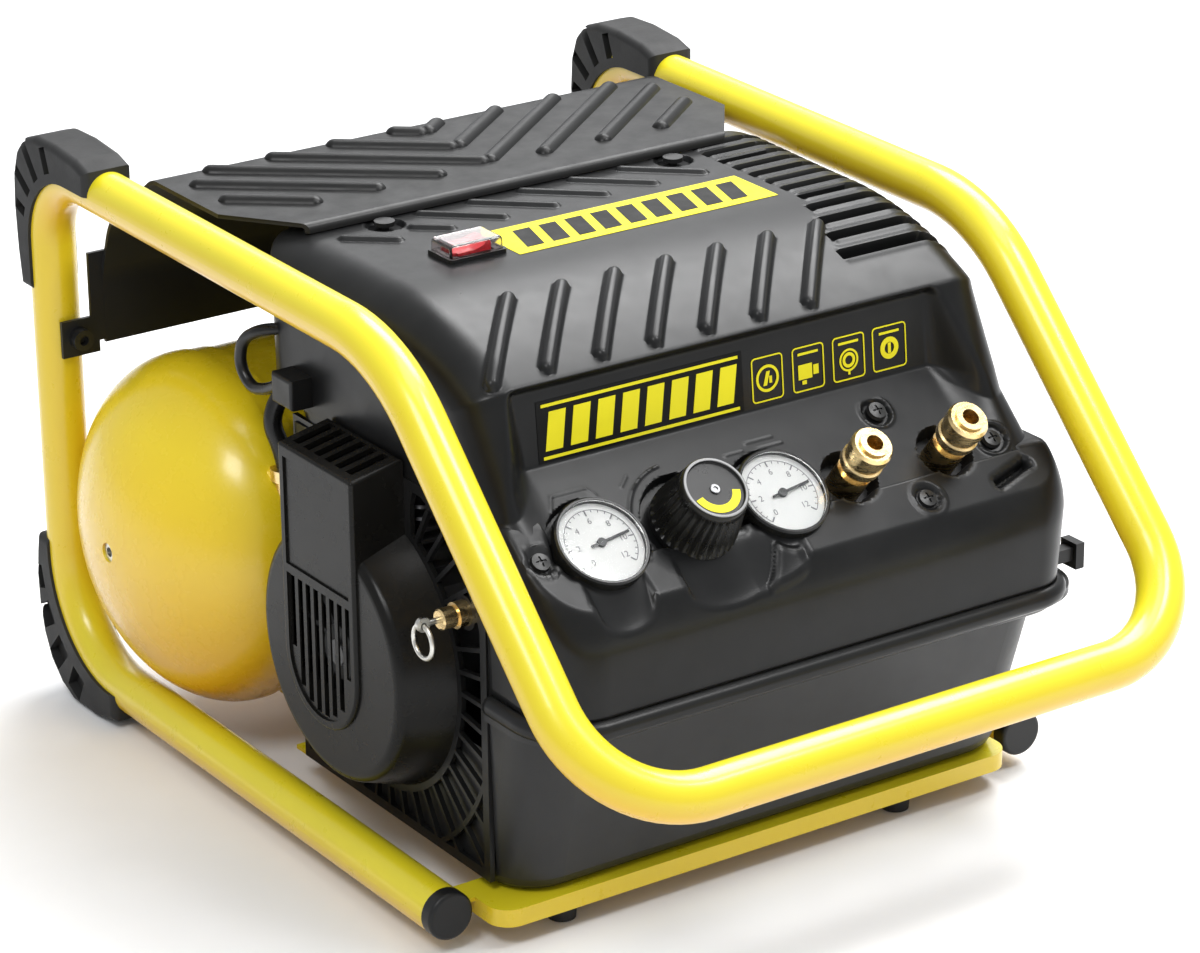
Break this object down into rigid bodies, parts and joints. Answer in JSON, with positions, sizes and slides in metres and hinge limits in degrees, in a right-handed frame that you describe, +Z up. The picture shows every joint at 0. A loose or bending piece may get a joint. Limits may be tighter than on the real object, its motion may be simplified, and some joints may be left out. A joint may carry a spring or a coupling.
{
  "type": "portable air compressor",
  "caption": "Portable roll-cage air compressor: bent tube frame, horizontal air tank with storage deck, plastic pump housing with gauges, regulator knob and quick couplers.",
  "frame": {"origin": "middle of the underside of the bounding box, on the floor", "axes": "+X to the right of someone facing the control panel, +Y towards the rear and the tank, +Z up"},
  "size_m": [0.4598, 0.6138, 0.362],
  "materials": {
    "yellow_paint": "glossy powder coat",
    "cap_plastic": "fine grain",
    "protector_rubber": "matte moulded",
    "black_sheet": "satin powder coat",
    "zinc_steel": "zinc plated",
    "black_steel": "black oxide",
    "brass": "machined",
    "line_rubber": "satin",
    "housing_plastic": "satin grain",
    "grille_plastic": "satin",
    "cover_plastic": "satin",
    "gauge_black": "glossy",
    "dial_white": "printed",
    "needle_black": "matte",
    "clear_lens": "polished",
    "knob_plastic": "satin ribbed",
    "cast_aluminium": "as cast",
    "switch_red": "glossy",
    "clear_cover": "clear flexible cover",
    "motor_steel": "laminated",
    "bearing_steel": "ground",
    "fan_plastic": "moulded",
    "cast_iron": "as cast"
  },
  "bodies": {
    "frame": {"cage_tube": "yellow_paint", "tube_end_caps": "cap_plastic", "top_corner_protectors": "protector_rubber", "bottom_corner_protectors": "protector_rubber", "base_tray": "yellow_paint", "tray_feet": "protector_rubber", "tray_bolts": "zinc_steel", "storage_deck": "black_sheet", "deck_screws": "black_steel", "tank_shell": "yellow_paint", "tank_ends": "yellow_paint", "tank_plugs": "zinc_steel", "tank_brackets": "yellow_paint", "drain_cock_body": "brass", "check_valve": "brass", "delivery_hose": "line_rubber", "motor_lead": "line_rubber", "cable_glands": "cap_plastic", "upper_housing": "housing_plastic", "lower_housing": "housing_plastic", "housing_screws": "black_steel", "side_grille": "grille_plastic", "fan_cover": "cover_plastic", "tank_gauge_case": "gauge_black", "tank_gauge_dial": "dial_white", "tank_gauge_lens": "clear_lens", "outlet_gauge_case": "gauge_black", "outlet_gauge_dial": "dial_white", "outlet_gauge_lens": "clear_lens", "regulator_body": "brass", "manifold": "cast_aluminium", "coupler_left_body": "brass", "coupler_right_body": "brass", "relief_valve_body": "brass", "switch_bezel": "cap_plastic", "switch_cover": "clear_cover", "pressure_switch": "cap_plastic", "motor_stator": "motor_steel", "motor_end_bells": "cast_aluminium", "shaft_bearings": "bearing_steel", "crankcase": "cast_aluminium", "cylinder": "cast_aluminium", "valve_plate": "bearing_steel", "cylinder_head": "cast_aluminium", "air_filter": "cap_plastic"},
    "rocker": {"switch_rocker": "switch_red"},
    "knob": {"regulator_knob": "knob_plastic"},
    "tank_needle": {"tank_gauge_needle": "needle_black"},
    "outlet_needle": {"outlet_gauge_needle": "needle_black"},
    "left_sleeve": {"coupler_left_sleeve": "brass"},
    "right_sleeve": {"coupler_right_sleeve": "brass"},
    "relief_stem": {"relief_valve_stem": "zinc_steel"},
    "relief_ring": {"relief_valve_ring": "zinc_steel"},
    "drain_tap": {"drain_cock_tap": "zinc_steel"},
    "reset_button": {"reset_button": "cap_plastic"},
    "crank_train": {"motor_shaft": "bearing_steel", "motor_rotor": "cast_aluminium", "cooling_fan": "fan_plastic", "crank_eccentric": "cast_iron"},
    "piston": {"piston_rod": "cast_aluminium"}
  },
  "joints": [
    {"name": "rocker_tilt", "type": "hinge", "parent": "frame", "child": "rocker", "pos_m": [-0.088, 0.0029, 0.3415], "axis": [0, 1, 0], "range_deg": [0, 16]},
    {"name": "regulator_turn", "type": "hinge", "parent": "frame", "child": "knob", "pos_m": [-0.053, -0.16467, 0.2274], "axis": [0, -0.6234, 0.7819], "range_deg": [-720, 720]},
    {"name": "tank_gauge_sweep", "type": "hinge", "parent": "frame", "child": "tank_needle", "pos_m": [-0.115, -0.16467, 0.2274], "axis": [0, -0.6234, 0.7819], "range_deg": [-270, 0], "stiffness_Nm_per_rad": 0.001},
    {"name": "outlet_gauge_sweep", "type": "hinge", "parent": "frame", "child": "outlet_needle", "pos_m": [0.005, -0.16467, 0.2274], "axis": [0, -0.6234, 0.7819], "range_deg": [-270, 0], "stiffness_Nm_per_rad": 0.001},
    {"name": "left_sleeve_slide", "type": "slide", "parent": "frame", "child": "left_sleeve", "axis": [0, 0.6234, -0.7819], "range_m": [0, 0.004], "stiffness_N_per_m": 600},
    {"name": "right_sleeve_slide", "type": "slide", "parent": "frame", "child": "right_sleeve", "axis": [0, 0.6234, -0.7819], "range_m": [0, 0.004], "stiffness_N_per_m": 600},
    {"name": "relief_pull", "type": "slide", "parent": "frame", "child": "relief_stem", "axis": [-1, 0, 0], "range_m": [0, 0.003], "stiffness_N_per_m": 1500},
    {"name": "relief_ring_swing", "type": "hinge", "parent": "relief_stem", "child": "relief_ring", "pos_m": [-0.196, -0.1151, 0.1844], "axis": [0, 1, 0], "range_deg": [-10, 100]},
    {"name": "drain_turn", "type": "hinge", "parent": "frame", "child": "drain_tap", "pos_m": [-0.013, 0.2009, 0.015], "axis": [1, 0, 0], "range_deg": [-90, 0]},
    {"name": "reset_push", "type": "slide", "parent": "frame", "child": "reset_button", "axis": [-1, 0, 0], "range_m": [0, 0.003], "stiffness_N_per_m": 300},
    {"name": "motor_spin", "type": "hinge", "parent": "frame", "child": "crank_train", "pos_m": [-0.134, -0.0226, 0.134], "axis": [1, 0, 0], "continuous": true},
    {"name": "piston_stroke", "type": "slide", "parent": "frame", "child": "piston", "axis": [0, 0, 1], "range_m": [-0.009, 0.009]}
  ]
}
